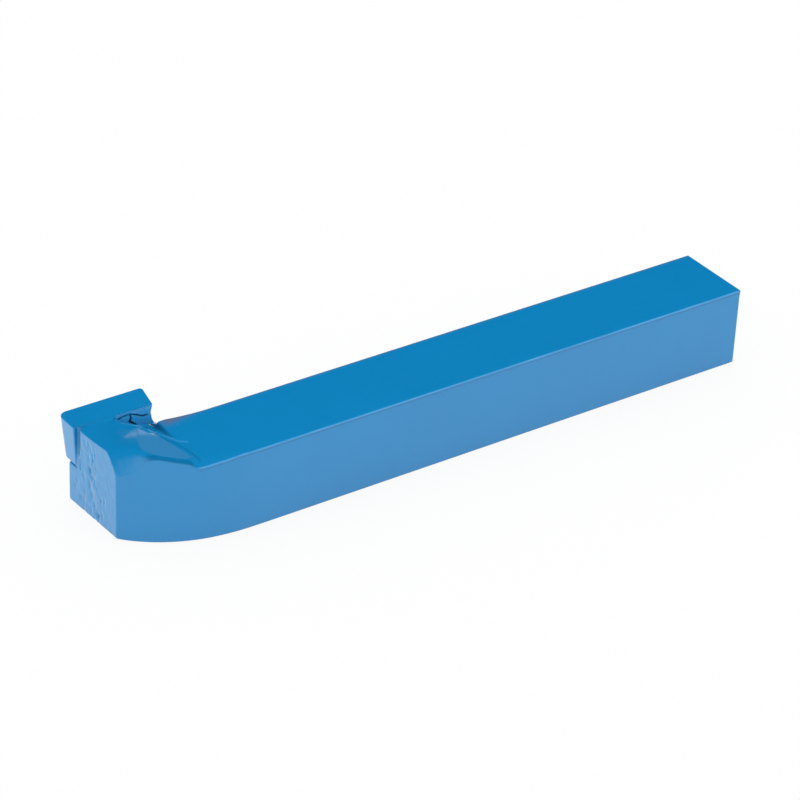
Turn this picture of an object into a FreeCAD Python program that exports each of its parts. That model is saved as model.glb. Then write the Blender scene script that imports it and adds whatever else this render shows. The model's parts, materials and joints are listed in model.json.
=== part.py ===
# Brazed turning tool, left-hand side-cutting form, 12 x 12 x 100 mm.
# A forged steel shank is cranked to one side, and a carbide tip is brazed into a milled
# seat at the far corner of its head. Sizes are in millimetres and angles in degrees.
# While it is built, x runs from the butt towards the head, y is 0 on the shank's centre
# line, and z is 0 at the base. At the end all pieces move so that the origin is the middle
# of the clamped part of the base.

import FreeCAD, Part
import math
import os

Vec = FreeCAD.Vector

# Shank bar
overall_length = 100.0
shank_width = 12.0
shank_height = 12.0
clamp_length = 80.0
long_edge_radius = 0.4
butt_edge_radius = 0.7

# Outer side of the crank: a gentle arc, then a tighter one that ends at the end face
crank_length = 18.5
end_setback = 0.78
gentle_radius = 35.0
gentle_turn = 12.0
total_turn = 49.5

# Inner side of the crank: the bar swells into a sharp forged corner
swell_length = 7.2
swell_depth = 0.75
rear_face_angle = 11.5

# Head: the bar's top ends at a slanted ridge, and a flat ramp rises from it to a low hump
head_overhang = 6.5
dress_length = 14.0
ridge_length = 10.85
ridge_slant = 14.0
ridge_margin = 1.9
ramp_setback = 1.0
ramp_slant = 9.0
ramp_angle = 17.0
corner_round = 4.5
corner_drop = 1.6
end_edge_radius = 0.4

# Dressed top: heights above the bar's own top on a grid that an even surface runs through.
# Rows run from the tip's side to the outer side, and columns from the bar to the end face.
dress_step = 2.5
dress_row_step = 5.0
dress_first_row = 11.0
dress_heights = [
    [-3.9, -3.1, -1.8, -0.2, 0.1, 0.2, 0.1],
    [-3.7, -2.9, -1.7, -0.15, 0.15, 0.2, 0.1],
    [-1.8, -0.9, -0.1, 0.15, 0.4, 0.4, 0.25],
    [-1.0, -0.3, 0.4, 0.95, 1.1, 0.85, 0.35],
    [-0.5, -0.2, 0.4, 1.2, 1.85, 1.6, 0.8],
    [-0.6, -0.4, 0.1, 0.8, 1.7, 1.6, 1.0],
]

# Forging fold at the inner corner
fold_depth = 1.0
fold_reach = 6.5
fold_back = 1.0
fold_front = 1.5
fold_past = 0.5

# Carbide tip, standing on its long edge in the seat
tip_thickness = 4.3
tip_height = 6.05
tip_rise = 0.25
tip_lead = 0.3
tip_overhang = 2.4
side_clearance = 7.0
front_clearance = 3.0
nose_radius = 1.2
heel_radius = 0.6

# Brazed joint: filler behind and under the tip, and the bead squeezed out at its rear
wall_braze = 0.25
ledge_braze = 0.2
braze_setback = 0.5
bead_leg = 0.75
bead_end_leg = 0.3
bead_length = 5.2
bead_drop = 1.0
bead_end_drop = 0.5
bead_height = 1.9
bead_end_height = 0.3

# Values that follow
half_width = shank_width / 2
bend_start = overall_length - crank_length
gentle_reach = gentle_radius * math.sin(math.radians(gentle_turn))
tight_share = math.sin(math.radians(total_turn)) - math.sin(math.radians(gentle_turn))
tight_radius = (crank_length - end_setback - gentle_reach) / tight_share
dress_start = overall_length - dress_length
ridge_start = overall_length - ridge_length
ridge_lean = math.tan(math.radians(ridge_slant))
inner_corner = Vec(bend_start + swell_length, -half_width - swell_depth, 0)
head_reach = half_width + head_overhang
end_face_far = Vec(overall_length - tip_lead, -head_reach, 0)
tip_far_edge = head_reach + tip_overhang
tip_near = tip_thickness - tip_far_edge
tip_top = shank_height + tip_rise
tip_bottom = tip_top - tip_height
ledge_height = tip_bottom - ledge_braze
seat_wall = tip_near + wall_braze
corner_height = shank_height - corner_drop

# Allowances for the cutting shapes, and for finding edges by their place
clear = 5.0
above = shank_height + 3 * clear
near = 0.05


def turned(centre, radius, angle):
    """Point at an angle in degrees, clockwise from +y, round a centre."""
    a = math.radians(angle)
    return centre + Vec(radius * math.sin(a), radius * math.cos(a), 0)


def rear_x(y):
    """The head's rear face in plan, which slants through the inner corner."""
    return inner_corner.x + (y - inner_corner.y) * math.tan(math.radians(rear_face_angle))


def ring(points):
    """Closed wire through corner points."""
    return Part.makePolygon(points + [points[0]])


def prism(outline, bottom, top):
    """Upright solid over a closed plan outline."""
    points = [Vec(x, y, bottom) for x, y in outline]
    return Part.Face(ring(points)).extrude(Vec(0, 0, top - bottom))


def crank_side():
    """Ends and middles of the two arcs on the crank's outer side."""
    gentle_centre = Vec(bend_start, half_width - gentle_radius, 0)
    tight_centre = turned(gentle_centre, gentle_radius - tight_radius, gentle_turn)
    return {
        "start": Vec(bend_start, half_width, 0),
        "gentle_middle": turned(gentle_centre, gentle_radius, gentle_turn / 2),
        "joint": turned(gentle_centre, gentle_radius, gentle_turn),
        "tight_middle": turned(tight_centre, tight_radius, (gentle_turn + total_turn) / 2),
        "end": turned(tight_centre, tight_radius, total_turn),
    }


def blank():
    """The forged bar before its top is dressed: the plan outline, raised past the hump."""
    p = crank_side()
    swell_start = Vec(bend_start, -half_width, 0)
    swell_middle = Vec(bend_start + swell_length / 2, -half_width - swell_depth / 4, 0)
    rear_far = Vec(rear_x(-head_reach), -head_reach, 0)
    butt_near = Vec(0, half_width, 0)
    butt_far = Vec(0, -half_width, 0)
    edges = [
        Part.makeLine(butt_near, p["start"]),
        Part.Arc(p["start"], p["gentle_middle"], p["joint"]).toShape(),
        Part.Arc(p["joint"], p["tight_middle"], p["end"]).toShape(),
        Part.makeLine(p["end"], end_face_far),
        Part.makeLine(end_face_far, rear_far),
        Part.makeLine(rear_far, inner_corner),
        Part.Arc(inner_corner, swell_middle, swell_start).toShape(),
        Part.makeLine(swell_start, butt_far),
        Part.makeLine(butt_far, butt_near),
    ]
    return Part.Face(Part.Wire(edges)).extrude(Vec(0, 0, above))


def shank_zone(bottom, top):
    """Upright solid over the bar, as far as the slanted ridge that ends its top."""
    wide = half_width + clear
    ridge_y = inner_corner.y + ridge_margin
    ridge_x = ridge_start + (half_width - ridge_y) * ridge_lean
    outline = [(-clear, wide), (ridge_start - clear * ridge_lean, wide), (ridge_x, ridge_y),
               (inner_corner.x + fold_back, inner_corner.y), (-clear, inner_corner.y)]
    return prism(outline, bottom, top)


def head_top():
    """All that lies above the head's dressed top."""
    grid = []
    for j, row in enumerate(dress_heights):
        y = j * dress_row_step - half_width - dress_first_row
        grid.append([Vec(dress_start + i * dress_step, y, shank_height + rise)
                     for i, rise in enumerate(row)])
    surface = Part.BSplineSurface()
    surface.interpolate(grid)
    return surface.toShape().extrude(Vec(0, 0, above))


def ramp():
    """What is struck off over the flat ramp, from its foot at the level of the bar's top."""
    slant = math.radians(ramp_slant)
    along = Vec(math.sin(slant), -math.cos(slant), 0)
    uphill = Vec(math.cos(slant), math.sin(slant), 0)
    foot = Vec(ridge_start + ramp_setback, half_width, shank_height) - along * clear
    high = foot + uphill * crank_length
    high.z += crank_length * math.tan(math.radians(ramp_angle))
    up = Vec(0, 0, above)
    return Part.Face(ring([foot, high, high + up, foot + up])).extrude(along * overall_length)


def fold():
    """Groove of the forging fold, which deepens and widens towards the inner corner."""
    far_y = inner_corner.y - fold_past
    crest_x = ridge_start + (half_width - far_y) * ridge_lean
    tail = Vec(crest_x - fold_reach * ridge_lean - fold_front, far_y + fold_reach, shank_height)
    crest = Vec(crest_x, far_y, shank_height)
    root = Vec(crest_x - fold_front, far_y, shank_height - fold_depth)
    rim = Vec(root.x - fold_back, far_y, shank_height)
    up = Vec(0, 0, clear)
    rear_slope = Part.Face(ring([tail, rim, root])).extrude(up)
    return rear_slope.fuse(Part.Face(ring([tail, root, crest])).extrude(up))


def seat():
    """The milled pocket for the tip: an upright wall and a level ledge."""
    back_x = rear_x(seat_wall) - clear
    front_x = overall_length + clear
    far_y = -tip_far_edge - clear
    outline = [(back_x, seat_wall), (front_x, seat_wall), (front_x, far_y), (back_x, far_y)]
    return prism(outline, ledge_height, above + clear)


def corner_rounding():
    """What is hammered off the hump's front corner: an arc that fades out along both faces."""
    corner = crank_side()["end"]
    bearing = math.radians((90 - total_turn) / 2)
    outward = Vec(math.cos(bearing), math.sin(bearing), 0)
    along = Vec(-outward.y, outward.x, 0)
    diagonal = corner_round * math.sqrt(0.5)
    reach = shank_width

    def place(s, z):
        return corner + outward * s - along * reach + Vec(0, 0, z)

    foot = place(0, corner_height)
    middle = place(diagonal - corner_round, corner_height + diagonal)
    crown = place(-corner_round, corner_height + corner_round)
    high = crown + Vec(0, 0, clear)
    outer_high = high + outward * (corner_round + clear)
    outer_foot = foot + outward * clear
    wire = Part.Wire([
        Part.Arc(foot, middle, crown).toShape(),
        Part.makeLine(crown, high),
        Part.makeLine(high, outer_high),
        Part.makeLine(outer_high, outer_foot),
        Part.makeLine(outer_foot, foot),
    ])
    return Part.Face(wire).extrude(along * (2 * reach))


def soften(shape, radius, wanted):
    """Round the edges whose middle point and box pass a test."""
    edges = []
    for edge in shape.Edges:
        middle = edge.valueAt((edge.FirstParameter + edge.LastParameter) / 2)
        if wanted(middle, edge.BoundBox):
            edges.append(edge)
    return shape.makeFillet(radius, edges).Solids[0]


def build_shank():
    """The bar with its crank, dressed head, seat and fold, and all its rounded edges."""
    corner = crank_side()["end"]
    joint = crank_side()["joint"]

    def upright(middle, box):
        return box.ZLength > shank_height / 2 and box.DiagonalLength - box.ZLength < near

    def butt_upright(middle, box):
        return upright(middle, box) and middle.x < near

    def end_upright(middle, box):
        return upright(middle, box) and math.hypot(middle.x - corner.x, middle.y - corner.y) < near

    def at_base(middle, box):
        return box.ZMax < near

    def round_bar_top(middle, box):
        level = abs(middle.z - shank_height) < near and box.ZLength < near
        return level and (middle.y > joint.y - half_width / 2 or middle.x < inner_corner.x - near)

    shape = blank().cut(shank_zone(shank_height, above + clear))
    shape = soften(shape, butt_edge_radius, butt_upright)
    shape = soften(shape, end_edge_radius, end_upright)
    shape = soften(shape, long_edge_radius, at_base)
    shape = soften(shape, long_edge_radius, round_bar_top)
    shape = shape.cut(head_top().cut(shank_zone(0, shank_height)))
    for cutter in (ramp(), seat(), fold(), corner_rounding()):
        shape = shape.cut(cutter)
    return shape.removeSplitter().Solids[0]


def build_tip():
    """Carbide block: a level top, clearance on the far flank and front, and a rounded nose."""
    lean = tip_height * math.tan(math.radians(side_clearance))
    back = tip_height * math.tan(math.radians(front_clearance))

    def level(z, inset, setback):
        far = inset - tip_far_edge
        front = overall_length - setback
        corners = [(rear_x(tip_near), tip_near), (front, tip_near), (front, far),
                   (rear_x(far), far)]
        return ring([Vec(x, y, z) for x, y in corners])

    block = Part.makeLoft([level(tip_bottom, lean, back), level(tip_top, 0, 0)], True, True)

    def on_flank(middle, box):
        return middle.y < lean - tip_far_edge and box.ZLength > tip_height / 2

    def nose(middle, box):
        return on_flank(middle, box) and middle.x > overall_length - nose_radius

    def heel(middle, box):
        return on_flank(middle, box) and middle.x < inner_corner.x

    return soften(soften(block, nose_radius, nose), heel_radius, heel)


def build_braze(shank, tip):
    """Filler on the seat's wall and ledge, with the bead along the tip's exposed rear flank."""
    front = overall_length - tip_lead - braze_setback
    lean = tip_height * math.tan(math.radians(side_clearance))
    far = lean - tip_far_edge + braze_setback
    ledge_far = max(far, braze_setback - head_reach)
    wall = prism([(rear_x(seat_wall), seat_wall), (front, seat_wall), (front, tip_near),
                  (rear_x(tip_near), tip_near)], ledge_height, shank_height)
    ledge = prism([(rear_x(seat_wall), seat_wall), (front, seat_wall), (front, ledge_far),
                   (rear_x(ledge_far), ledge_far)], ledge_height, tip_bottom)
    start_x = rear_x(tip_near)

    def section(x, top, height, leg):
        points = [(tip_near, top - height - clear), (tip_near, top), (tip_near + leg, top - height),
                  (tip_near + leg, top - height - clear)]
        return ring([Vec(x, y, z) for y, z in points])

    first = section(start_x, shank_height - bead_drop, bead_height, bead_leg)
    last = section(start_x + bead_length, shank_height - bead_end_drop, bead_end_height,
                   bead_end_leg)
    bead = Part.makeLoft([first, last], True, True)
    joint = wall.fuse([ledge, bead]).cut(shank).cut(tip).removeSplitter()
    return max(joint.Solids, key=lambda piece: piece.Volume)


shank = build_shank()
tip = build_tip()
parts = {"shank": shank, "carbide_tip": tip, "braze_joint": build_braze(shank, tip)}
home = Vec(-clamp_length / 2, 0, 0)
os.makedirs("parts", exist_ok=True)
for name, shape in parts.items():
    shape.translate(home)
    shape.exportStep("parts/" + name + ".step")
    box = shape.BoundBox
    print(name, "valid", shape.isValid(), "volume", round(shape.Volume, 1), "mm3, z",
          round(box.ZMin, 2), "to", round(box.ZMax, 2))
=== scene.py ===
import json
import math

import bmesh
import bpy
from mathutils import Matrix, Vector, noise
from mathutils.bvhtree import BVHTree

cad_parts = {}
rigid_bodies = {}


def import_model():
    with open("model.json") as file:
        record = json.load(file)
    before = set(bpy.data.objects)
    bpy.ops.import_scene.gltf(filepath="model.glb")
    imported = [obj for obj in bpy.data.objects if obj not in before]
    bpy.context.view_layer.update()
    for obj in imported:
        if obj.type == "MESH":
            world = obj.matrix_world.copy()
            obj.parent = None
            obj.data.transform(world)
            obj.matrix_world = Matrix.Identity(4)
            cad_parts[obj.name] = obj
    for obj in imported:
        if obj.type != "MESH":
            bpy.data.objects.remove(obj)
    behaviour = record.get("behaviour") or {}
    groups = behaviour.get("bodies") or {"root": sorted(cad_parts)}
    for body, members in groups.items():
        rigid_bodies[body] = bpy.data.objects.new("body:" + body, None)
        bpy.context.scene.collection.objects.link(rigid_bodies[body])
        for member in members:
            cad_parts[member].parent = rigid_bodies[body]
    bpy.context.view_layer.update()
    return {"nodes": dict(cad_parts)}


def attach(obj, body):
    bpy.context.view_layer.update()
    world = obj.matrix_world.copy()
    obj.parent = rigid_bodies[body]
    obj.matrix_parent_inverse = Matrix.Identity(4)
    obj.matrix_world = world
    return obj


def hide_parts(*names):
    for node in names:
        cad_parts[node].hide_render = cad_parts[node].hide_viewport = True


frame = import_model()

mm = 0.001   # pieces are modelled in millimetres and shrunk to metres when they are finished
cadShank = BVHTree.FromObject(frame["nodes"]["shank"], bpy.context.evaluated_depsgraph_get())


# Edit-mode helpers

def addBlock(name, low, high):
    bpy.ops.object.select_all(action="DESELECT")
    middle = (Vector(low) + Vector(high)) / 2
    bpy.ops.mesh.primitive_cube_add(size=1, location=middle)
    piece = bpy.context.object
    piece.name = name
    piece.scale = Vector(high) - Vector(low)
    bpy.ops.object.transform_apply(location=True, rotation=True, scale=True)
    return piece


def selectVerts(piece, wanted):
    bpy.ops.mesh.select_mode(type="VERT")
    bpy.ops.mesh.select_all(action="DESELECT")
    shape = bmesh.from_edit_mesh(piece.data)
    for vert in shape.verts:
        vert.select = wanted(vert)
    shape.select_flush(True)
    bmesh.update_edit_mesh(piece.data)


def selectFaces(piece, wanted):
    bpy.ops.mesh.select_mode(type="FACE")
    bpy.ops.mesh.select_all(action="DESELECT")
    shape = bmesh.from_edit_mesh(piece.data)
    for face in shape.faces:
        face.select = wanted(face)
    shape.select_flush(True)
    bmesh.update_edit_mesh(piece.data)


def cutLoops(axis, places):
    normal = [0.0, 0.0, 0.0]
    normal[axis] = 1.0
    for place in places:
        bpy.ops.mesh.select_all(action="SELECT")
        bpy.ops.mesh.bisect(plane_co=[n * place for n in normal], plane_no=normal)


def evenPlaces(start, end, step):
    count = max(1, round((end - start) / step))
    return [start + (end - start) * i / count for i in range(1, count)]


def nearEdge(low, high, gaps):
    return [low + gap for gap in gaps] + [high - gap for gap in gaps]


def moveVerts(piece, place):
    shape = bmesh.new()
    shape.from_mesh(piece.data)
    for vert in shape.verts:
        vert.co = place(vert.co.copy(), vert)
    shape.to_mesh(piece.data)
    shape.free()


def finishPiece(piece, node, sharpAngle=60):
    bpy.ops.object.select_all(action="DESELECT")
    bpy.context.view_layer.objects.active = piece
    piece.select_set(True)
    piece.scale = (mm, mm, mm)
    bpy.ops.object.transform_apply(location=True, rotation=True, scale=True)
    bpy.ops.object.shade_smooth_by_angle(angle=math.radians(sharpAngle))
    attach(piece, "root")
    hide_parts(node)
    print(piece.name, len(piece.data.polygons), "faces")


def fade(value, start, end):
    share = min(1.0, max(0.0, (value - start) / (end - start)))
    return share * share * (3 - 2 * share)


def between(points, x):
    # height of a line through chosen points, level past its ends
    if x <= points[0][0]:
        return points[0][1]
    for (x0, y0), (x1, y1) in zip(points, points[1:]):
        if x <= x1:
            return y0 + (y1 - y0) * (x - x0) / (x1 - x0)
    return points[-1][1]


def offLine(points, x, y):
    # distance from a line of straight runs, and the share of the way along it
    best = (1e9, 0.0)
    runs = len(points) - 1
    for i, ((x0, y0), (x1, y1)) in enumerate(zip(points, points[1:])):
        dx, dy = x1 - x0, y1 - y0
        along = min(1.0, max(0.0, ((x - x0) * dx + (y - y0) * dy) / (dx * dx + dy * dy)))
        gap = math.hypot(x - x0 - dx * along, y - y0 - dy * along)
        best = min(best, (gap, (i + along) / runs))
    return best


def paintVerts(piece, rule):
    # shares of painted light, painted shade and bare places, in the red, green and blue of one attribute
    layer = piece.data.attributes.new("paint", "FLOAT_COLOR", "POINT")
    for vert, value in zip(piece.data.vertices, layer.data):
        value.color = (*rule(vert.co / mm, vert.normal), 1.0)


# Shank: a square bar, cranked at its head

shankForm = {
    "butt": -40.0, "end": 60.0, "half": 6.0, "height": 12.0,
    "bendStart": 41.5, "gentleRadius": 35.0, "gentleTurn": 12.0, "totalTurn": 49.5,
    "endNearX": 59.22, "endFarX": 59.7, "headFar": -12.5,
    "innerX": 48.7, "swell": 0.75, "rearAngle": 11.5,
    "seatWall": -10.35, "ledge": 6.0, "scaleFrom": 6.0,
    "fine": 0.17, "coarse": 3.0, "fineRun": 4, "bendStep": 0.5, "heightStep": 0.25,
    "edgeGaps": (0.08, 0.18, 0.3, 0.44, 0.6, 0.8),
    "levelEnd": 3.0, "readInset": 0.06, "roundedInset": 0.6, "roundedEnd": 50.4,
}

# What the hammer, the file and the paint left on the head. Places are in plan, apart from the pits,
# which are y, z and size on the end face.
headForm = {
    "edgeDip": ((44.3, 0.0), (46.3, 0.27), (48.0, 0.43), (49.5, 0.66), (50.4, 0.66), (51.2, 0.0)),
    "dipReach": 1.3,
    "wallTop": ((49.6, 12.6), (50.4, 11.4), (51.2, 11.65), (52.5, 12.0), (53.9, 12.4), (55.0, 12.65),
                (56.0, 12.5), (56.8, 11.5), (57.4, 10.8), (58.0, 10.3), (58.7, 9.9), (59.2, 9.8)),
    "facetReach": (0.34, 0.58), "facetCurve": (1.2, 1.55), "cornerX": (55.8, 57.2),
    "footX": 50.15, "footSlant": 9.0, "footShift": 0.6, "rampRise": 0.275, "rampFade": 0.031,
    "rampFar": -3.3, "rampNear": 4.6, "rampEnding": 1.0, "rampSpread": 3.4,
    "cutReach": 2.2, "cutSlack": 0.02, "cutFade": 1.4, "footFade": (-1.6, -1.1),
    "shelfX": 51.5, "shelfHeight": 12.2, "shelfRise": 0.12, "shelfFall": 0.06,
    "shelfSide": (-0.4, 1.4), "shelfTip": (8.0, 10.0), "shelfStart": (-0.3, 1.5), "shelfEnd": (53.0, 54.6),
    "crestHeight": 13.52, "crestSlant": 0.14, "crestLevel": 0.5, "crestSide": (-5.5, -1.5),
    "crestFade": (56.2, 58.6),
    "fillSide": (-3.0, -1.0), "fillStart": (48.5, 49.0), "fillEnd": (51.0, 51.6),
    "wedge": ((49.95, -7.2), (49.9, -5.9), (49.83, -4.97), (49.78, -3.8), (49.6, -2.7)),
    "wedgeDepth": 0.4, "wedgeWidth": 0.6, "wedgeCore": 0.05, "wedgeTaper": 1.1, "wedgeEase": 0.7,
    "strip": ((50.84, -5.6), (50.68, -4.07), (50.29, -2.69), (49.68, -1.18), (48.8, -0.4)),
    "ridge": ((51.6, -3.8), (50.94, -2.4), (50.27, -1.0), (49.85, 0.85), (49.7, 1.9), (49.6, 4.2)),
    "pocket": (50.9, -10.1), "pocketDepth": 1.0, "pocketReach": (0.5, 3.4),
    "notchX": 49.1, "notchSide": (-0.12, 0.3), "sideStep": 0.1,
    "pits": ((-7.32, 7.48, 0.45), (-7.2, 6.9, 0.3), (-6.88, 6.31, 0.4), (-7.43, 4.75, 0.45),
             (-7.4, 5.4, 0.35), (-8.6, 3.16, 0.3), (-9.55, 1.85, 0.4), (-8.88, 2.06, 0.35),
             (-7.02, 3.56, 0.45), (-4.61, 3.94, 0.3), (-3.84, 4.13, 0.3), (-10.41, 3.9, 0.3),
             (-10.97, 3.04, 0.35), (-5.34, 1.18, 0.6), (-4.4, 1.76, 0.3), (-6.2, 2.4, 0.35)),
    "pitDepth": 0.22, "pitEdge": (0.2, 0.95), "pitTall": 0.7, "pitRagged": 0.12, "faceTop": 0.5,
    "grooveFoot": 7.2, "grooveDepth": 0.8, "grooveWidth": (0.15, 0.75), "grooveBack": 0.4,
    "patchY": -7.3, "patchWidth": (0.8, 2.6), "patchDepth": 0.14, "patchEdge": (0.12, 0.45),
    "waveHeight": 0.02, "grainHeight": 0.028, "grainLeast": 0.4, "grainLevels": (-9, -2),
}


def crankSide(x):
    # y of the crank's outer side at x
    s = shankForm
    gentleCentre = (s["bendStart"], s["half"] - s["gentleRadius"])
    first, last = math.radians(s["gentleTurn"]), math.radians(s["totalTurn"])
    reach = s["endNearX"] - s["bendStart"] - s["gentleRadius"] * math.sin(first)
    tight = reach / (math.sin(last) - math.sin(first))
    if x <= s["bendStart"]:
        return s["half"]
    if x <= s["bendStart"] + s["gentleRadius"] * math.sin(first):
        return gentleCentre[1] + math.sqrt(s["gentleRadius"] ** 2 - (x - gentleCentre[0]) ** 2)
    back = s["gentleRadius"] - tight
    centre = (gentleCentre[0] + back * math.sin(first), gentleCentre[1] + back * math.cos(first))
    along = min(x, s["endNearX"]) - centre[0]
    return centre[1] + math.sqrt(tight ** 2 - along ** 2)


def rearX(y):
    s = shankForm
    return s["innerX"] + (y + s["half"] + s["swell"]) * math.tan(math.radians(s["rearAngle"]))


def topHeight(x, y):
    # height of the forged head's top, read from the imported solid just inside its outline
    s = shankForm
    if x < s["innerX"] - s["levelEnd"]:
        return s["height"]
    inset = s["readInset"]
    side = crankSide(x) - (s["roundedInset"] if x < s["roundedEnd"] else inset)
    x = min(x, s["endNearX"] - inset)
    y = min(y, side)
    y = max(y, s["seatWall"] + inset)
    if y < -s["half"] - s["swell"] / 2:
        x = max(x, rearX(y) + inset)
    spot = cadShank.ray_cast(Vector((x, y, 40)) * mm, Vector((0, 0, -1)))[0]
    return spot.z / mm if spot else s["height"]


def sculptTop(x, y):
    # the head's top with its dip at the outer edge, its ramp, its shelf and its fold
    s, h = shankForm, headForm
    top = topHeight(x, y)
    if x < s["innerX"] - s["levelEnd"]:
        return top - edgeDip(x, y)
    slant = math.radians(h["footSlant"])
    along = (x - h["footX"]) * math.cos(slant) - (s["half"] - y) * math.sin(slant)
    near = 1 - fade(y, h["rampNear"], h["rampNear"] + h["rampEnding"])
    window = fade(y, h["rampFar"] - h["rampEnding"], h["rampFar"]) * near
    lift = h["rampRise"] * h["footShift"]
    if along < 0:
        foot = s["height"] + max(0.0, lift + h["rampRise"] * along) * window
        if along > -h["cutReach"] and top > s["height"] - h["cutSlack"]:
            top -= max(window, fade(-along, 0.0, h["cutFade"])) * max(0.0, top - foot)
        top += window * (foot - top) * fade(along, *h["footFade"])
    else:
        wide = fade(y, h["rampFar"] - h["rampSpread"], h["rampFar"]) * near
        top += wide * max(0.0, lift - h["rampFade"] * along)
        crest = min(s["height"] + lift + h["rampRise"] * along,
                    h["crestHeight"] + h["crestSlant"] * min(y, h["crestLevel"]))
        top += max(0.0, crest - top) * fade(y, *h["crestSide"]) * (1 - fade(x, *h["crestFade"]))
    shelf = fade(-y, *(edge - h["rampFar"] for edge in h["shelfSide"])) * (1 - fade(-y, *h["shelfTip"]))
    shelf *= fade(x, *(h["shelfX"] + edge for edge in h["shelfStart"])) * (1 - fade(x, *h["shelfEnd"]))
    level = h["shelfHeight"] + h["shelfRise"] * (x - h["shelfX"]) - h["shelfFall"] * (h["rampFar"] - y)
    top += shelf * max(0.0, level - top)
    fill = fade(y, *h["fillSide"]) * fade(x, *h["fillStart"]) * (1 - fade(x, *h["fillEnd"]))
    top += fill * max(0.0, s["height"] - top)
    gap, share = offLine(h["wedge"], x, y)
    depth = h["wedgeDepth"] * (1 - share) ** h["wedgeEase"]
    top -= depth * (1 - fade(gap, h["wedgeCore"], h["wedgeWidth"] * (h["wedgeTaper"] - share)))
    away = math.hypot(x - h["pocket"][0], y - h["pocket"][1])
    top -= h["pocketDepth"] * (1 - fade(away, *h["pocketReach"]))
    notchFar, notchNear = h["notchSide"]
    if notchFar - s["half"] - s["swell"] < y < notchNear - s["half"] and x < h["notchX"]:
        top = s["height"]
    # the outer edge falls in a curve, low and wide at the front corner
    inside = crankSide(min(x, s["endNearX"])) - y
    drop = top - between(h["wallTop"], x)
    if x > h["wallTop"][0][0] and drop > 0:
        corner = fade(x, *h["cornerX"])
        reach, curve = (a + (b - a) * corner for a, b in (h["facetReach"], h["facetCurve"]))
        step = h["sideStep"]
        lean = (crankSide(min(x, s["endNearX"]) - step) - crankSide(min(x, s["endNearX"]))) / step
        across = max(0.0, inside) / math.hypot(1, lean) / (reach * drop)
        top -= drop * max(0.0, 1 - across) ** curve
    return top - edgeDip(x, y)


def edgeDip(x, y):
    # how far the top's outer edge was hammered down
    h = headForm
    inside = crankSide(min(x, shankForm["endNearX"])) - y
    return between(h["edgeDip"], x) * (1 - fade(inside, 0.0, h["dipReach"]))


def placeShank(co, vert):
    s = shankForm
    x, y, z = co
    innerY = -s["half"] - s["swell"]
    swell = s["swell"] * min(1.0, max(0.0, (x - s["bendStart"]) / (s["innerX"] - s["bendStart"]))) ** 2
    if y >= -s["half"]:
        share = (y + s["half"]) / (2 * s["half"])
        endShare = fade(x, s["innerX"], s["end"])
        near = crankSide(x - (s["end"] - s["endNearX"]) * endShare)
        far = -s["half"] - swell
        y = far + (near - far) * share
    elif y > s["seatWall"]:
        share = (y - s["seatWall"]) / (-s["half"] - s["seatWall"])
        y = s["seatWall"] + (innerY - s["seatWall"]) * share
    if x > s["innerX"] - 0.001:
        along = (x - s["innerX"]) / (s["end"] - s["innerX"])
        rear = rearX(y) if y < innerY + 0.01 else s["innerX"]
        slant = (y - s["headFar"]) / (crankSide(s["endNearX"]) - s["headFar"])
        front = s["endFarX"] + (s["endNearX"] - s["endFarX"]) * slant
        x = rear + (front - rear) * along
    if z > s["scaleFrom"]:
        rise = sculptTop(x, y) - s["height"]
        z += rise * (z - s["scaleFrom"]) / (s["height"] - s["scaleFrom"])
    return Vector((weatherFace(x, y, z), y, z))


def weatherFace(x, y, z):
    # x on the end face, with the groove beside the tip, the pits and the grain under the paint
    s, h = shankForm, headForm
    faceTop = s["height"] - h["faceTop"]
    if x > s["endNearX"] - h["grooveBack"] and z > h["grooveFoot"]:
        deep = h["grooveDepth"] * fade(z, h["grooveFoot"], faceTop)
        x -= deep * (1 - fade(y - s["seatWall"], *h["grooveWidth"]))
    if x > s["endNearX"] - 0.1 and z < faceTop:
        for pitY, pitZ, size in h["pits"]:
            away = math.hypot(y - pitY, (z - pitZ) * h["pitTall"])
            away += h["pitRagged"] * noise.noise(Vector((y, z, 0)) * 4)
            x -= h["pitDepth"] * (1 - fade(away, *(size * edge for edge in h["pitEdge"])))
        rough = h["grainLeast"] + (1 - h["grainLeast"]) * fade(-z, *h["grainLevels"])
        middle = 1 - fade(abs(y - h["patchY"]), *h["patchWidth"])
        x -= h["patchDepth"] * middle * fade(noise.noise(Vector((y * 2.2, z * 1.5, 8))), *h["patchEdge"])
        x += h["waveHeight"] * noise.noise(Vector((y, z, 1)) * 1.6)
        x += h["grainHeight"] * rough * noise.noise(Vector((y, z, 5)) * 4)
    return x
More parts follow.
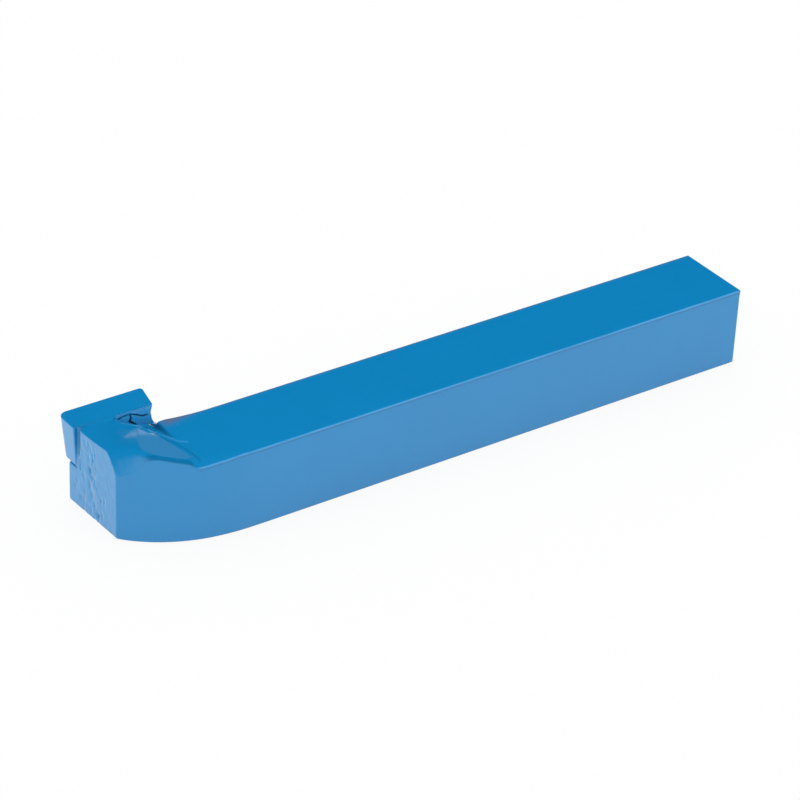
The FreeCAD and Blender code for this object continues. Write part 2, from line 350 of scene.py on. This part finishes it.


# How much painted light, painted shade and bare place shows where, and between which distances it fades
shankLightShadeAndWear = {
    "edgeEnd": (-50.7, -49.5), "edgeShare": 0.8, "edgeLine": (0.03, 0.07), "edgeFade": (0.05, 0.15),
    "edgeBreaks": ((0.6, 1.7, 3), (0.4, 5, 6)), "edgeWhole": 0.85,
    "underShare": 0.25, "underLine": 0.4, "underFade": (0.06, 0.2), "underSide": (0.1, 0.3),
    "faceX": 58, "faceNormal": 0.92, "faceShare": 0.3, "faceClouds": 0.12,
    "pitShare": 0.3, "pitFade": (0.2, 0.9), "pitInset": 0.4,
    "grooveShare": 0.12, "grooveFade": (0.1, 0.6), "grooveFoot": (7.0, 8.5),
    "headFoot": 9, "wedgeShare": 0.85, "wedgeEase": 0.6, "wedgeWidth": 0.75, "wedgeTaper": 1.15,
    "stripShare": 0.35, "stripFade": (0.04, 0.22), "ridgeShare": 0.25, "ridgeFade": (0.05, 0.25),
    "dull": (48.6, -6.6), "dullShare": 0.55, "dullStretch": 0.45, "dullFade": (0.2, 2.5),
    "dullEnd": (49.1, 49.6), "dullFoot": (10.9, 11.9),
    "brinkShare": 0.3, "brinkFade": (0.35, 0.8), "brinkEnd": (55.5, 57), "brinkNormal": 0.25,
    "cornerShare": 0.22, "cornerFade": (0.4, 2.4), "cornerFoot": (6.8, 9.5), "cornerNormal": (0.5, 0.9),
    "rimShare": 0.35, "rimWidth": 0.4, "rimDepth": 0.5,
}


def paintShank(co, normal):
    # the painted light and shade of the top edge, the end face and the head, with painted shade at the front
    # corner and the bare far rim, added up
    s, c = shankForm, shankLightShadeAndWear
    x, y, z = co
    side = crankSide(min(x, s["endNearX"])) - y
    lightShadeAndWear = [paintEdge(x, z, side), paintFace(x, y, z, normal), paintHead(x, y, z, side, normal)]
    painted_light, painted_shade, bare = (sum(shares) for shares in zip(*lightShadeAndWear))
    corner = math.hypot(x - s["endNearX"], y - crankSide(s["endNearX"]))
    # painted shade darkening the near side and the head's top towards the front corner, less on faces turned
    # up
    if z > s["ledge"] and normal.x < 0.7:
        shade = c["cornerShare"] * (1 - fade(corner, *c["cornerFade"])) * fade(z, *c["cornerFoot"])
        painted_shade += shade * (1 - fade(normal.z, *c["cornerNormal"]))
    if y < c["rimWidth"] - s["half"] and z > s["height"] - c["rimDepth"] and x < s["innerX"]:
        bare += c["rimShare"]
    return painted_light, min(1.0, painted_shade), min(1.0, bare)


def paintEdge(x, z, side):
    # a painted highlight as a bright broken line along the near top edge, and a painted shade line under it
    s, c = shankForm, shankLightShadeAndWear
    if z <= 10 or x >= -c["edgeEnd"][0]:
        return 0.0, 0.0, 0.0
    broken = c["edgeWhole"]
    for share, scale, seed in c["edgeBreaks"]:
        broken += share * noise.noise(Vector((x * scale, 0, seed)))
    ending = fade(-x, *c["edgeEnd"])
    below = s["height"] - edgeDip(x, crankSide(x)) - z
    away = math.hypot(side - c["edgeLine"][0], below - c["edgeLine"][1])
    painted_light = c["edgeShare"] * ending * broken * (1 - fade(away, *c["edgeFade"]))
    painted_shade = c["underShare"] * ending * (1 - fade(abs(below - c["underLine"]), *c["underFade"]))
    return painted_light, painted_shade * (1 - fade(side, *c["underSide"])), 0.0


def paintFace(x, y, z, normal):
    # painted light making the end face paler where it faces +X, and painted shade in its pits and in the
    # groove beside the tip
    s, h, c = shankForm, headForm, shankLightShadeAndWear
    painted_light = painted_shade = 0.0
    if x > c["faceX"] and normal.x > c["faceNormal"]:
        painted_light = c["faceShare"] + c["faceClouds"] * noise.noise(Vector((y, z, 2)) * 0.9)
    if x > c["faceX"] and y < crankSide(s["endNearX"]) - c["pitInset"]:
        for pitY, pitZ, size in h["pits"]:
            away = math.hypot(y - pitY, (z - pitZ) * h["pitTall"])
            painted_shade += c["pitShare"] * (1 - fade(away, *(size * edge for edge in c["pitFade"])))
        groove = 1 - fade(y - s["seatWall"], *c["grooveFade"])
        painted_shade += c["grooveShare"] * groove * fade(z, *c["grooveFoot"])
    return painted_light, painted_shade, 0.0


def paintHead(x, y, z, side, normal):
    # painted shade in the wedge behind the head and along the ridge, a painted highlight along the strip, the
    # bare dull place at the notch and a painted shade line under the ramp's near side
    h, c = headForm, shankLightShadeAndWear
    if z <= c["headFoot"]:
        return 0.0, 0.0, 0.0
    gap, share = offLine(h["wedge"], x, y)
    wedge = c["wedgeShare"] * (1 - share) ** c["wedgeEase"]
    painted_shade = wedge * (1 - fade(gap, 0.1, c["wedgeWidth"] * (c["wedgeTaper"] - share)))
    gap, share = offLine(h["strip"], x, y)
    painted_light = c["stripShare"] * (0.3 + share) * (1 - fade(gap, *c["stripFade"]))
    gap, share = offLine(h["ridge"], x, y)
    painted_shade += c["ridgeShare"] * (1 - fade(gap, *c["ridgeFade"]))
    away = math.hypot((x - c["dull"][0]) * c["dullStretch"], y - c["dull"][1])
    bare = c["dullShare"] * (1 - fade(away, *c["dullFade"])) * (1 - fade(x, *c["dullEnd"]))
    bare *= fade(z, *c["dullFoot"])
    if x > -c["edgeEnd"][0] and normal.z > c["brinkNormal"]:
        painted_shade += c["brinkShare"] * (1 - fade(side, *c["brinkFade"])) * (1 - fade(x, *c["brinkEnd"]))
    return painted_light, painted_shade, bare


def makeShank():
    s = shankForm
    shank = addBlock("forged_shank", (s["butt"], -s["half"], 0), (s["end"], s["half"], s["height"]))
    bpy.ops.object.mode_set(mode="EDIT")
    cutLoops(0, [s["innerX"]])
    selectFaces(shank, lambda face: face.normal.y < -0.9 and face.calc_center_median().x > s["innerX"])
    bpy.ops.mesh.extrude_region_move(
        TRANSFORM_OT_translate={"value": (0, s["seatWall"] + s["half"], 0)})
    cutLoops(2, [s["ledge"]])
    selectFaces(shank, lambda face: face.normal.y < -0.9 and face.calc_center_median().z < s["ledge"]
                and face.calc_center_median().y < s["seatWall"] + 0.1)
    bpy.ops.mesh.extrude_region_move(
        TRANSFORM_OT_translate={"value": (0, s["headFar"] - s["seatWall"], 0)})
    gaps = s["edgeGaps"]
    cutLoops(0, nearEdge(s["butt"], s["end"], gaps))
    cutLoops(0, [s["innerX"] + gap for gap in gaps])
    cutLoops(0, evenPlaces(s["butt"] + gaps[-1], s["bendStart"], s["coarse"]))
    cutLoops(0, evenPlaces(s["bendStart"], s["innerX"] - s["fineRun"], s["bendStep"]))
    cutLoops(0, evenPlaces(s["innerX"] - s["fineRun"], s["innerX"], s["fine"]))
    cutLoops(0, evenPlaces(s["innerX"] + gaps[-1], s["end"] - gaps[-1], s["fine"]))
    cutLoops(1, nearEdge(-s["half"], s["half"], gaps))
    cutLoops(1, evenPlaces(-s["half"] + gaps[-1], s["half"] - gaps[-1], s["fine"]))
    cutLoops(1, evenPlaces(s["seatWall"], -s["half"], s["fine"]))
    cutLoops(1, [s["seatWall"] + gap for gap in gaps[:2]])
    cutLoops(1, evenPlaces(s["headFar"], s["seatWall"], s["fine"]))
    cutLoops(1, [s["headFar"] + gap for gap in gaps[:2]])
    cutLoops(2, nearEdge(0, s["height"], gaps))
    cutLoops(2, evenPlaces(gaps[-1], s["ledge"], s["heightStep"]))
    cutLoops(2, evenPlaces(s["ledge"], s["height"] - gaps[-1], s["heightStep"]))
    bpy.ops.object.mode_set(mode="OBJECT")
    moveVerts(shank, placeShank)
    softenEdges(shank)
    return shank


# Smoothing passes over the outward edges: repeats and how far each reaches in rings of points
soften = {"worn": (9, 2), "painted": (3, 1), "angle": 25, "factor": 0.5, "barTop": (51, 11), "nearY": -4,
          "buttRun": 2, "lowZ": 6}


def isWorn(vert):
    # the edges that forging and handling rounded, which leaves out the bar's top edges
    x, y, z = vert.co
    if z > soften["barTop"][1] and x < soften["barTop"][0]:
        return False
    return y > soften["nearY"] or x < shankForm["butt"] + soften["buttRun"] or z < soften["lowZ"]


def softenEdges(piece):
    # rounds the outward edges as the forging and the thick paint leave them
    bpy.ops.object.mode_set(mode="EDIT")
    for (repeat, grow), wanted in ((soften["worn"], isWorn), (soften["painted"], lambda vert: True)):
        shape = bmesh.from_edit_mesh(piece.data)
        bpy.ops.mesh.select_mode(type="VERT")
        bpy.ops.mesh.select_all(action="DESELECT")
        shape.normal_update()
        for edge in shape.edges:
            if len(edge.link_faces) == 2 and edge.calc_face_angle_signed() > math.radians(soften["angle"]):
                for vert in edge.verts:
                    vert.select = wanted(vert)
        bmesh.update_edit_mesh(piece.data)
        for step in range(grow):
            bpy.ops.mesh.select_more()
        bpy.ops.mesh.vertices_smooth(factor=soften["factor"], repeat=repeat)
    bpy.ops.object.mode_set(mode="OBJECT")


# Carbide tip

tipForm = {
    "near": -10.6, "far": -14.9, "front": 60.0, "bottom": 6.2, "top": 12.25,
    "sideClearance": 7.0, "frontClearance": 3.0, "noseRadius": 1.2, "heelRadius": 0.6,
    "edgeRound": 0.16, "fine": 0.3,
    "hollow": 0.42, "hollowZ": 10.7, "hollowTall": (0.2, 1.5), "hollowLong": (48.6, 50.2),
    "hollowFar": (-13, -10.6),
    # the front face gets painted light, and the far top rim is left bare
    "frontLight": 0.36, "frontClouds": 0.1, "rimPaint": 0.45, "rimWidth": 0.35,
}


def rearHollow(x, z):
    # the rear end is drawn in a little at mid height, where braze ran over it
    t = tipForm
    return t["hollow"] * (1 - fade(abs(z - t["hollowZ"]), *t["hollowTall"])) * (1 - fade(x, *t["hollowLong"]))


def makeTip():
    t = tipForm
    height = t["top"] - t["bottom"]
    lean = height * math.tan(math.radians(t["sideClearance"]))
    back = height * math.tan(math.radians(t["frontClearance"]))
    tip = addBlock("carbide_insert", (0, 0, 0), (1, 1, 1))

    def corner(co, vert):
        low = co.z < 0.5
        y = t["near"] if co.y > 0.5 else t["far"] + (lean if low else 0)
        x = t["front"] - (back if low else 0) if co.x > 0.5 else rearX(y)
        return Vector((x, y, t["bottom"] if low else t["top"]))

    moveVerts(tip, corner)
    bpy.ops.object.mode_set(mode="EDIT")
    for radius, test in ((t["noseRadius"], lambda x: x > t["front"] - 1),
                         (t["heelRadius"], lambda x: x < rearX(t["near"]) + 0.5)):
        selectVerts(tip, lambda v: v.co.y < t["near"] - 2 and test(v.co.x))
        bpy.ops.mesh.bevel(offset=radius, segments=6, affect="EDGES")
    bpy.ops.mesh.select_all(action="DESELECT")
    bpy.ops.mesh.select_mode(type="EDGE")
    bpy.ops.mesh.edges_select_sharp(sharpness=math.radians(40))
    bpy.ops.mesh.bevel(offset=t["edgeRound"], segments=3, affect="EDGES")
    cutLoops(0, evenPlaces(rearX(t["far"]), t["front"], t["fine"]))
    cutLoops(1, evenPlaces(t["far"], t["near"], t["fine"]))
    cutLoops(2, evenPlaces(t["bottom"], t["top"], t["fine"]))
    bpy.ops.object.mode_set(mode="OBJECT")
    moveVerts(tip, lambda co, vert: co + Vector((rearHollow(co.x, co.z) * fade(co.y, *t["hollowFar"]), 0, 0)))
    return tip


def paintTip(co, normal):
    # painted light on the faces turned to the front, and the bare far rim at the top
    t = tipForm
    x, y, z = co
    painted_light = t["frontLight"] + t["frontClouds"] * noise.noise(Vector((y, z, 2))) if normal.x > 0.7 else 0.0
    rim = 1.4 * math.hypot(min(0.0, t["far"] + t["rimWidth"] - y), min(0.0, z - t["top"] + t["rimWidth"]))
    bare = t["rimPaint"] * fade(rim, 0.1, 0.5) if z > t["top"] - 0.3 and y < t["far"] + 0.25 else 0.0
    return painted_light, 0.0, bare


# Braze: the filler between tip and wall, and the bead on the tip's rear flank

beadForm = {
    "rear": 47.98, "front": 59.62, "back": -10.75, "low": 6.1, "top": 12.21, "headRoot": -10.0,
    "skirt": 0.95, "slope": 0.3, "lip": 0.06, "endX": 53.4, "blendX": 54.6, "leftX": 52.8,
    "crack": ((48.2, 10.95), (49.05, 10.95), (49.66, 10.99), (51.05, 11.59), (51.81, 11.74),
              (52.58, 11.67), (53.3, 11.5)),
    "crackWidth": 0.055, "crackDepth": 0.3, "crackStart": (48.5, 49.2), "flankStep": 0.1,
    "hole": ((51.5, 11.6), (51.45, 11.1), (51.75, 10.8), (51.3, 10.55), (50.75, 10.1)),
    "holeWidth": 0.13, "holeDepth": 0.35, "roughAbove": (0.035, 5), "roughBelow": (0.02, 2.2),
    "grooveFrom": 7, "grooveDepth": 0.55, "grooveTop": 11, "grooveSide": (-10.7, -10.5),
    "fine": 0.08, "across": 0.15, "coarse": 0.3,
    # the seam, the hole and the front groove get painted shade, the flank painted light and painted glints
    "seamShade": 0.95, "seamFade": (0.03, 0.11), "seamStart": (48.6, 49.1), "glint": 0.6, "flankLight": 0.5,
    "grooveShade": 0.15,
}


def holeReach(share, least):
    # the hole's half width, widest half way along
    return beadForm["holeWidth"] * (least + 0.9 * math.sin(math.pi * share))


def beadFace(x, z):
    # how far the bead stands out from the tip's near flank
    b = beadForm
    out = b["lip"] + (b["top"] - z) * b["slope"]
    above = z - between(b["crack"], x)
    left = 1 - fade(x, b["leftX"], b["blendX"])
    out -= left * b["flankStep"] * fade(above, -b["fine"], b["fine"])
    crack = b["crackDepth"] * (1 - fade(abs(above), 0.0, b["crackWidth"] * 2))
    out -= left * crack * fade(x, *b["crackStart"])
    gap, share = offLine(b["hole"], x, z)
    out -= b["holeDepth"] * (1 - fade(gap, 0.02, holeReach(share, 0.6)))
    rough, scale = b["roughAbove"] if above > 0 else b["roughBelow"]
    return out + rough * noise.noise(Vector((x, z, 4)) * scale) * left


def placeBead(co, vert):
    b = beadForm
    x, y, z = co
    x = max(x, rearX(b["back"]) + 0.05)
    x += rearHollow(x, z)
    if x > b["front"] - 1 and z > b["grooveFrom"]:
        x -= b["grooveDepth"] * fade(z, b["grooveFrom"], b["grooveTop"]) * fade(y, *b["grooveSide"])
    if y > b["grooveSide"][0]:
        share = (y - b["back"]) / (b["headRoot"] - b["back"])
        out = beadFace(x, min(z, b["top"]))
        meet = fade(x, b["endX"], b["blendX"])
        side = tipForm["near"] + out + (b["skirt"] - out) * meet
        y = b["back"] + (side - b["back"]) * share
        if z > b["top"] - 0.01:
            head = min(sculptTop(x, side) - 0.01, b["top"] + 0.15)
            z += meet * (0.05 + (head - z - 0.05) * fade(share, 0.25, 1.0)) - 0.03 * (1 - meet) * share
    return Vector((x, y, z))


def makeBead():
    b = beadForm
    bead = addBlock("braze_bead", (b["rear"], b["back"], b["low"]), (b["front"], b["headRoot"], b["top"]))
    bpy.ops.object.mode_set(mode="EDIT")
    cutLoops(0, evenPlaces(b["rear"], b["blendX"], b["fine"]))
    cutLoops(0, evenPlaces(b["blendX"] - 0.01, b["front"], b["coarse"]))
    cutLoops(1, evenPlaces(b["back"], b["headRoot"], b["across"]))
    cutLoops(2, evenPlaces(b["low"] + 1, b["top"], b["fine"]))
    bpy.ops.object.mode_set(mode="OBJECT")
    moveVerts(bead, placeBead)
    return bead


def paintBead(co, normal):
    # painted shade in the crack, the hole and the front groove, and painted light with painted glints on the
    # flank
    b = beadForm
    x, y, z = co
    left = 1 - fade(x, b["leftX"], b["blendX"])
    above = z - between(b["crack"], x)
    painted_shade = left * b["seamShade"] * (1 - fade(abs(above), *b["seamFade"])) * fade(x, *b["seamStart"])
    gap, share = offLine(b["hole"], x, z)
    painted_shade += b["seamShade"] * (1 - fade(gap, 0.05, holeReach(share, 0.9)))
    glint = b["glint"] * fade(noise.noise(Vector((x, z, 9)) * 4.5), 0.15, 0.5) if above > 0.1 else 0.0
    painted_light = left * (b["flankLight"] + glint) * fade(normal.y, 0.3, 0.8) * (1 if above > 0 else 0.75)
    painted_shade += b["grooveShade"] * fade(x, 58.4, 58.8) * fade(z, 7, 8.5) * fade(y, -10.72, -10.6)
    return painted_light, min(1.0, painted_shade), 0.0


# Enamel

enamel = {
    # the light blue is painted light, for highlights and faces the light falls on; the dark blue is painted
    # shade for hollows, creases and corners
    "blue": (0.0, 0.25, 0.575), "deep": (0.0, 0.225, 0.53), "painted_shade_blue": (0.0, 0.02, 0.07),
    "painted_light": (0.09, 0.42, 0.82), "bare": (0.12, 0.16, 0.28),
    "roughness": 0.16, "coat": 0.4, "coatRoughness": 0.06, "ior": 1.5,
    "cloudScale": 90.0, "cloudDetail": 4.0, "grainScale": 2600.0, "grainHeight": 0.00002,
    "grainStrength": 0.15,
}


def makeEnamel(name):
    # glossy enamel, its tone drifting a little, with the painted light, the bare places and the painted shade
    # mixed over it
    e = enamel
    material = bpy.data.materials.new(name)
    material.use_nodes = True
    nodes, links = material.node_tree.nodes, material.node_tree.links
    nodes.clear()
    output = nodes.new("ShaderNodeOutputMaterial")
    shader = nodes.new("ShaderNodeBsdfPrincipled")
    shader.inputs["Roughness"].default_value = e["roughness"]
    shader.inputs["IOR"].default_value = e["ior"]
    shader.inputs["Coat Weight"].default_value = e["coat"]
    shader.inputs["Coat Roughness"].default_value = e["coatRoughness"]
    links.new(shader.outputs["BSDF"], output.inputs["Surface"])
    place = nodes.new("ShaderNodeTexCoord")
    clouds = nodes.new("ShaderNodeTexNoise")
    clouds.inputs["Scale"].default_value = e["cloudScale"]
    clouds.inputs["Detail"].default_value = e["cloudDetail"]
    links.new(place.outputs["Object"], clouds.inputs["Vector"])
    tone = nodes.new("ShaderNodeMix")
    tone.data_type = "RGBA"
    tone.inputs["A"].default_value = (*e["deep"], 1)
    tone.inputs["B"].default_value = (*e["blue"], 1)
    links.new(clouds.outputs["Fac"], tone.inputs["Factor"])
    marks = nodes.new("ShaderNodeAttribute")
    marks.attribute_name = "paint"
    shares = nodes.new("ShaderNodeSeparateColor")
    links.new(marks.outputs["Color"], shares.inputs["Color"])
    under = tone
    # red mixes in the painted light blue, blue the bare colour and green the painted shade blue
    for channel, colour in (("Red", "painted_light"), ("Blue", "bare"), ("Green", "painted_shade_blue")):
        over = nodes.new("ShaderNodeMix")
        over.data_type = "RGBA"
        over.inputs["B"].default_value = (*e[colour], 1)
        links.new(shares.outputs[channel], over.inputs["Factor"])
        links.new(under.outputs["Result"], over.inputs["A"])
        under = over
    links.new(under.outputs["Result"], shader.inputs["Base Color"])
    grain = nodes.new("ShaderNodeTexNoise")
    grain.inputs["Scale"].default_value = e["grainScale"]
    links.new(place.outputs["Object"], grain.inputs["Vector"])
    bump = nodes.new("ShaderNodeBump")
    bump.inputs["Distance"].default_value = e["grainHeight"]
    bump.inputs["Strength"].default_value = e["grainStrength"]
    links.new(grain.outputs["Fac"], bump.inputs["Height"])
    links.new(bump.outputs["Normal"], shader.inputs["Normal"])
    return material


# Studio

studio = {
    "floorSize": 6.0, "floorColour": (0.93, 0.93, 0.93), "floorGlow": 0.9, "skyLow": 1.0, "skyHigh": 0.0,
    "fadeFrom": -0.05, "fadeTo": 0.26, "ambient": 1.3,
    "cameraPlace": (0.23663, 0.30522, 0.24037), "cameraTurn": (58.3254, -2.2334, 145.3907),
    "lens": 145.97, "sensor": 36.0,
}


def makeStudio():
    # a white floor that the camera and the paint's reflections see lit, under light from all round
    s = studio
    bpy.ops.object.select_all(action="DESELECT")
    bpy.ops.mesh.primitive_plane_add(size=s["floorSize"])
    floor = bpy.context.object
    floor.name = "studio_floor"
    material = bpy.data.materials.new("floor_white")
    material.use_nodes = True
    nodes, links = material.node_tree.nodes, material.node_tree.links
    nodes.clear()
    output = nodes.new("ShaderNodeOutputMaterial")
    mix = nodes.new("ShaderNodeMixShader")
    paper = nodes.new("ShaderNodeBsdfDiffuse")
    paper.inputs["Color"].default_value = (*s["floorColour"], 1)
    glow = nodes.new("ShaderNodeEmission")
    path = nodes.new("ShaderNodeLightPath")
    seen = nodes.new("ShaderNodeMath")
    seen.operation = "MAXIMUM"
    share = nodes.new("ShaderNodeMath")
    share.operation = "MULTIPLY"
    share.inputs[1].default_value = s["floorGlow"]
    links.new(path.outputs["Is Camera Ray"], seen.inputs[0])
    links.new(path.outputs["Is Glossy Ray"], seen.inputs[1])
    links.new(seen.outputs["Value"], share.inputs[0])
    links.new(share.outputs["Value"], mix.inputs["Fac"])
    links.new(paper.outputs["BSDF"], mix.inputs[1])
    links.new(glow.outputs["Emission"], mix.inputs[2])
    links.new(mix.outputs["Shader"], output.inputs["Surface"])
    material.cycles.emission_sampling = "NONE"
    floor.data.materials.append(material)

    world = bpy.data.worlds.new("studio_light")
    bpy.context.scene.world = world
    world.use_nodes = True
    world.cycles.sampling_method = "NONE"   # each ray then meets the light meant for it
    nodes, links = world.node_tree.nodes, world.node_tree.links
    nodes.clear()
    output = nodes.new("ShaderNodeOutputWorld")
    back = nodes.new("ShaderNodeBackground")
    links.new(back.outputs["Background"], output.inputs["Surface"])
    path = nodes.new("ShaderNodeLightPath")
    place = nodes.new("ShaderNodeTexCoord")
    split = nodes.new("ShaderNodeSeparateXYZ")
    links.new(place.outputs["Generated"], split.inputs["Vector"])
    height = nodes.new("ShaderNodeMapRange")
    height.interpolation_type = "SMOOTHSTEP"
    height.inputs["From Min"].default_value = s["fadeFrom"]
    height.inputs["From Max"].default_value = s["fadeTo"]
    height.inputs["To Min"].default_value = s["skyLow"]
    height.inputs["To Max"].default_value = s["skyHigh"]
    links.new(split.outputs["Z"], height.inputs["Value"])
    level = nodes.new("ShaderNodeMix")
    level.inputs["A"].default_value = s["ambient"]
    links.new(path.outputs["Is Glossy Ray"], level.inputs["Factor"])
    links.new(height.outputs["Result"], level.inputs["B"])
    links.new(level.outputs["Result"], back.inputs["Strength"])

    camera = bpy.data.cameras.new("photo_view")
    view = bpy.data.objects.new("photo_view", camera)
    bpy.context.scene.collection.objects.link(view)
    view.location = s["cameraPlace"]
    view.rotation_euler = [math.radians(a) for a in s["cameraTurn"]]
    camera.lens = s["lens"]
    camera.sensor_width = s["sensor"]
    camera.clip_start = 0.01
    camera.clip_end = 20.0
    bpy.context.scene.camera = view
    bpy.context.scene.view_settings.view_transform = "Standard"
    print("studio ready")


makeStudio()
for make, node, slot, rule, sharp in (
    (makeShank, "shank", "shank_enamel", paintShank, 60),
    (makeTip, "carbide_tip", "tip_enamel", paintTip, 60),
    (makeBead, "braze_joint", "braze_enamel", paintBead, 80),
):
    piece = make()
    piece.data.materials.append(makeEnamel(slot))
    finishPiece(piece, node, sharp)
    paintVerts(piece, rule)
